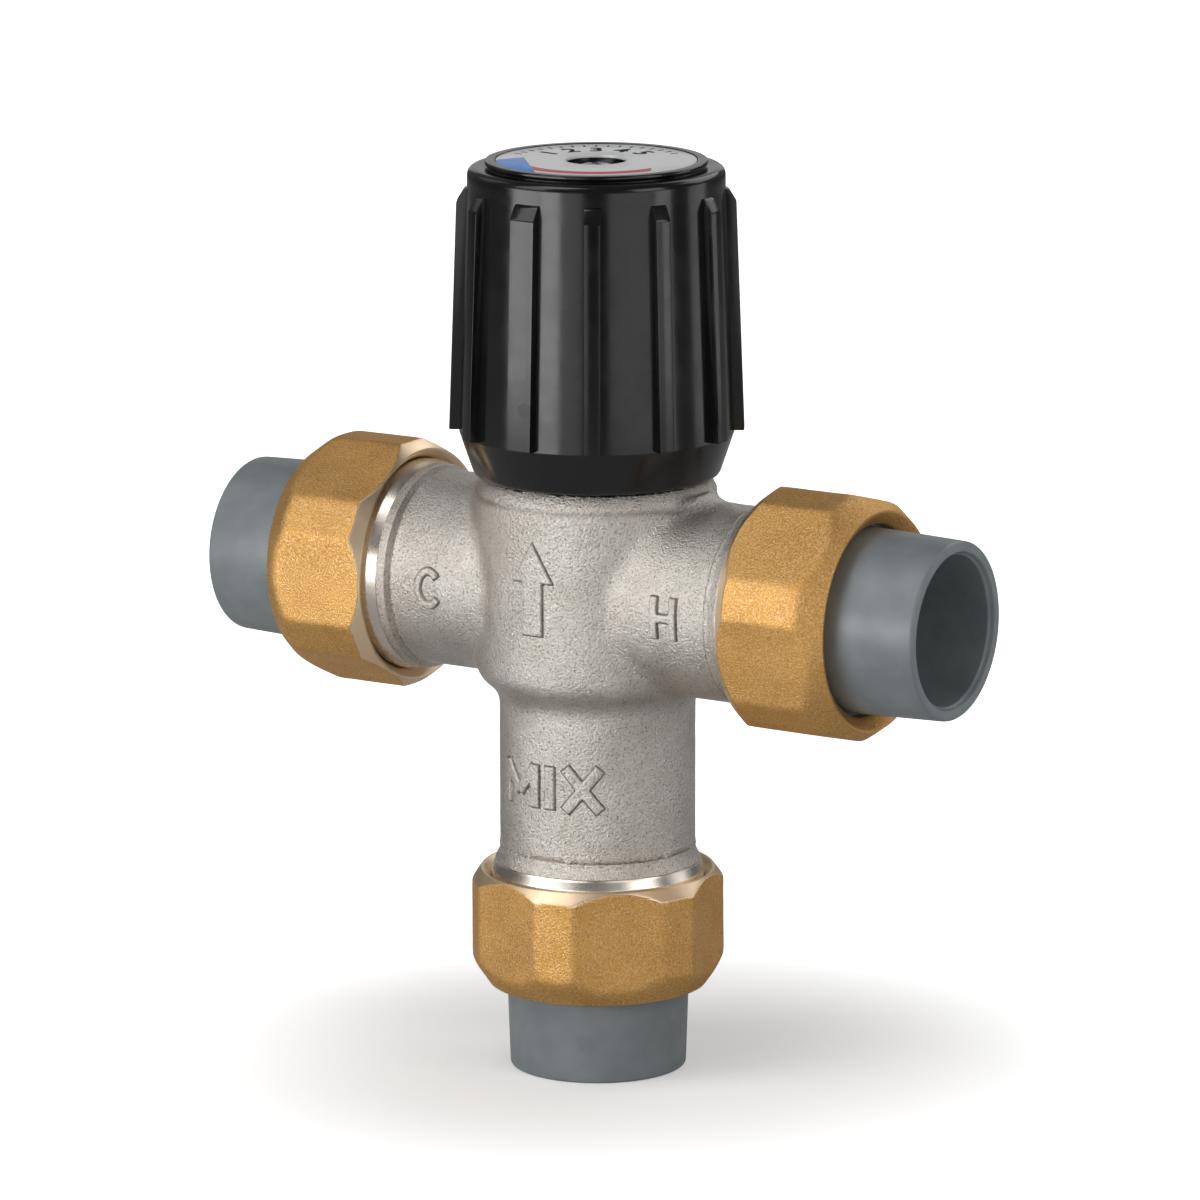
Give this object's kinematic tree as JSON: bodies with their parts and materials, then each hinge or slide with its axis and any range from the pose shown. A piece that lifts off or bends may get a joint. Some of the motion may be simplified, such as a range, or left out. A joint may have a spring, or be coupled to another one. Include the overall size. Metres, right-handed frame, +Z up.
{
  "type": "thermostatic mixing valve",
  "caption": "Three-way thermostatic mixing valve with union sockets on two side inlets and a lower outlet, and a ribbed adjusting knob on top.",
  "frame": {"origin": "middle of the lower tailpiece's end face, which it stands on", "axes": "+Z up the outlet and knob axis, +X towards the hot inlet, -Y the side with the cast port letters"},
  "size_m": [0.1228, 0.044, 0.138],
  "materials": {
    "nickel_plate": "nickel-plated sand-cast brass, grainy satin",
    "raw_brass": "shot-blasted cast brass with turned chamfers",
    "turned_brass": "turned",
    "black_plastic": "gloss moulded",
    "grey_plastic": "satin moulded",
    "label_film": "silver film with blue and red fields",
    "steel": "bright stainless",
    "inner_plastic": "moulded",
    "copper_case": "drawn",
    "seal_rubber": "matt"
  },
  "bodies": {
    "valve": {"valve_body": "nickel_plate", "bonnet": "turned_brass", "bonnet_o_ring": "seal_rubber", "shuttle_o_ring": "seal_rubber", "spring_rest": "steel", "return_spring": "steel", "cold_gasket": "seal_rubber", "hot_gasket": "seal_rubber", "mix_gasket": "seal_rubber", "cold_tailpiece": "grey_plastic", "hot_tailpiece": "grey_plastic", "mix_tailpiece": "grey_plastic"},
    "knob_assembly": {"knob": "black_plastic", "knob_label": "label_film", "knob_screw": "steel", "spindle": "turned_brass", "spindle_o_ring": "seal_rubber", "spindle_washer": "inner_plastic", "spindle_clip": "steel"},
    "plunger_assembly": {"plunger": "turned_brass", "cup_ring": "steel", "spring_cup": "turned_brass", "overload_spring": "steel", "element_pin": "steel"},
    "shuttle_assembly": {"shuttle": "inner_plastic", "thermostat_element": "copper_case"},
    "cold_nut": {"cold_union_nut": "raw_brass"},
    "hot_nut": {"hot_union_nut": "raw_brass"},
    "mix_nut": {"mix_union_nut": "raw_brass"}
  },
  "joints": [
    {"name": "knob_turn", "type": "hinge", "parent": "valve", "child": "knob_assembly", "pos_m": [0, 0, 0.12], "axis": [0, 0, 1], "range_deg": [-165, 165]},
    {"name": "plunger_slide", "type": "slide", "parent": "valve", "child": "plunger_assembly", "axis": [0, 0, 1], "range_m": [-0.00137, 0.00137], "deforming": ["return_spring"]},
    {"name": "shuttle_slide", "type": "slide", "parent": "plunger_assembly", "child": "shuttle_assembly", "axis": [0, 0, 1], "range_m": [-0.001, 0.001], "stiffness_N_per_m": 3000, "deforming": ["return_spring"]},
    {"name": "cold_nut_turn", "type": "hinge", "parent": "valve", "child": "cold_nut", "pos_m": [-0.04, 0, 0.0735], "axis": [-1, 0, 0], "continuous": true},
    {"name": "hot_nut_turn", "type": "hinge", "parent": "valve", "child": "hot_nut", "pos_m": [0.04, 0, 0.0735], "axis": [1, 0, 0], "continuous": true},
    {"name": "mix_nut_turn", "type": "hinge", "parent": "valve", "child": "mix_nut", "pos_m": [0, 0, 0.02], "axis": [0, 0, -1], "continuous": true}
  ],
  "couplings": [
    {"joint": "knob_turn", "follows": "plunger_slide", "rad_per_m": 2094.4}
  ]
}
